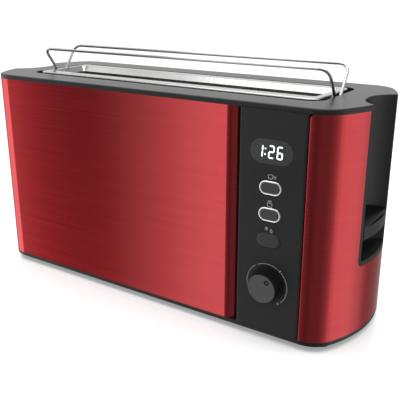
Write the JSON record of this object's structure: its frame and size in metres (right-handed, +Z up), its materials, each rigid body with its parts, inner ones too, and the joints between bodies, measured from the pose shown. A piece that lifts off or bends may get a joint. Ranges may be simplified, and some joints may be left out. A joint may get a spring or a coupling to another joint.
{
  "type": "pop-up toaster",
  "caption": "Long-slot pop-up toaster in red brushed sheet metal with black plastic top, base and control strip, a steel slot frame, fold-out wire bun rack and end lever.",
  "frame": {"origin": "on the floor plane under the middle of the body", "axes": "+Z up, +X along the length to the lever end, -Y to the front with the control strip"},
  "size_m": [0.385, 0.1503, 0.2157],
  "materials": {
    "red_steel": "brushed steel under clear red lacquer",
    "black_satin": "fine satin texture",
    "black_gloss": "polished",
    "knob_plastic": "satin",
    "button_plastic": "satin",
    "light_ring": "bright translucent",
    "display_window": "smoked",
    "display_module": "moulded",
    "steel_bright": "fine brushed",
    "chrome_wire": "chrome plated",
    "galvanised": "galvanised sheet",
    "steel_wire": "bright wire",
    "ground_steel": "ground",
    "screw_steel": "zinc plated",
    "nylon": "natural nylon",
    "magnet_coil": "enamelled winding on a steel yoke",
    "mica": "mica sheet",
    "heater_ribbon": "resistance ribbon",
    "circuit_board": "glass-fibre laminate",
    "electric_black": "moulded",
    "terminal_white": "moulded",
    "rubber": "soft"
  },
  "bodies": {
    "housing": {"left_panel": "red_steel", "right_panel": "red_steel", "top_cover": "black_satin", "control_panel": "black_satin", "rear_column": "black_satin", "right_channel": "black_satin", "left_channel": "black_satin", "base": "black_satin", "cord_gland": "black_satin", "ring_reheat": "light_ring", "ring_cancel": "light_ring", "display_window": "display_window", "display_module": "display_module", "slot_frame": "steel_bright", "left_end_plate": "galvanised", "right_end_plate": "galvanised", "front_reflector": "galvanised", "rear_reflector": "galvanised", "rack_bracket_left": "galvanised", "rack_bracket_right": "galvanised", "guide_rods": "ground_steel", "base_screws": "screw_steel", "board_screws": "screw_steel", "latch_magnet": "magnet_coil", "front_heater_board": "mica", "rear_heater_board": "mica", "front_heater_ribbon": "heater_ribbon", "rear_heater_ribbon": "heater_ribbon", "control_board": "circuit_board", "main_board": "circuit_board", "tact_switches": "electric_black", "potentiometer": "electric_black", "relay": "electric_black", "terminal_block": "terminal_white", "rubber_feet": "rubber"},
    "carriage": {"lever_handle": "black_gloss", "lever_arm": "galvanised", "carriage_bracket": "galvanised", "carriage_bushes": "nylon", "keeper_plate": "ground_steel", "bread_lift": "steel_wire", "lift_spring": "ground_steel"},
    "front_rack": {"front_rack_wire": "chrome_wire"},
    "rear_rack": {"rear_rack_wire": "chrome_wire"},
    "knob": {"browning_knob": "knob_plastic", "knob_shaft": "ground_steel"},
    "reheat_button": {"button_reheat": "button_plastic"},
    "cancel_button": {"button_cancel": "button_plastic"},
    "defrost_button": {"button_defrost": "button_plastic"},
    "tray": {"crumb_tray": "galvanised"},
    "front_guide": {"front_bread_guide": "steel_wire"},
    "rear_guide": {"rear_bread_guide": "steel_wire"}
  },
  "joints": [
    {"name": "carriage_lift", "type": "slide", "parent": "housing", "child": "carriage", "axis": [0, 0, 1], "range_m": [0, 0.06], "deforming": ["lift_spring"]},
    {"name": "front_rack_fold", "type": "hinge", "parent": "housing", "child": "front_rack", "pos_m": [0, -0.0022, 0.1865], "axis": [1, 0, 0], "range_deg": [0, 55.4]},
    {"name": "rear_rack_fold", "type": "hinge", "parent": "housing", "child": "rear_rack", "pos_m": [0, 0.0022, 0.1865], "axis": [1, 0, 0], "range_deg": [-55.4, 0]},
    {"name": "browning_turn", "type": "hinge", "parent": "housing", "child": "knob", "pos_m": [0.12795, -0.07, 0.0503], "axis": [0, 1, 0], "range_deg": [-170, 99]},
    {"name": "reheat_press", "type": "slide", "parent": "housing", "child": "reheat_button", "axis": [0, 1, 0], "range_m": [0, 0.001], "stiffness_N_per_m": 300, "springref_m": -0.002},
    {"name": "cancel_press", "type": "slide", "parent": "housing", "child": "cancel_button", "axis": [0, 1, 0], "range_m": [0, 0.001], "stiffness_N_per_m": 300, "springref_m": -0.002},
    {"name": "defrost_press", "type": "slide", "parent": "housing", "child": "defrost_button", "axis": [0, 1, 0], "range_m": [0, 0.001], "stiffness_N_per_m": 300, "springref_m": -0.002},
    {"name": "tray_slide", "type": "slide", "parent": "housing", "child": "tray", "axis": [0, 1, 0], "range_m": [0, 0.112]},
    {"name": "front_guide_slide", "type": "slide", "parent": "housing", "child": "front_guide", "axis": [0, -1, 0], "range_m": [0, 0.0045]},
    {"name": "rear_guide_slide", "type": "slide", "parent": "housing", "child": "rear_guide", "axis": [0, 1, 0], "range_m": [0, 0.0045]}
  ],
  "couplings": [
    {"joint": "front_guide_slide", "follows": "carriage_lift", "ratio": 0.0749},
    {"joint": "rear_guide_slide", "follows": "carriage_lift", "ratio": 0.0749}
  ]
}
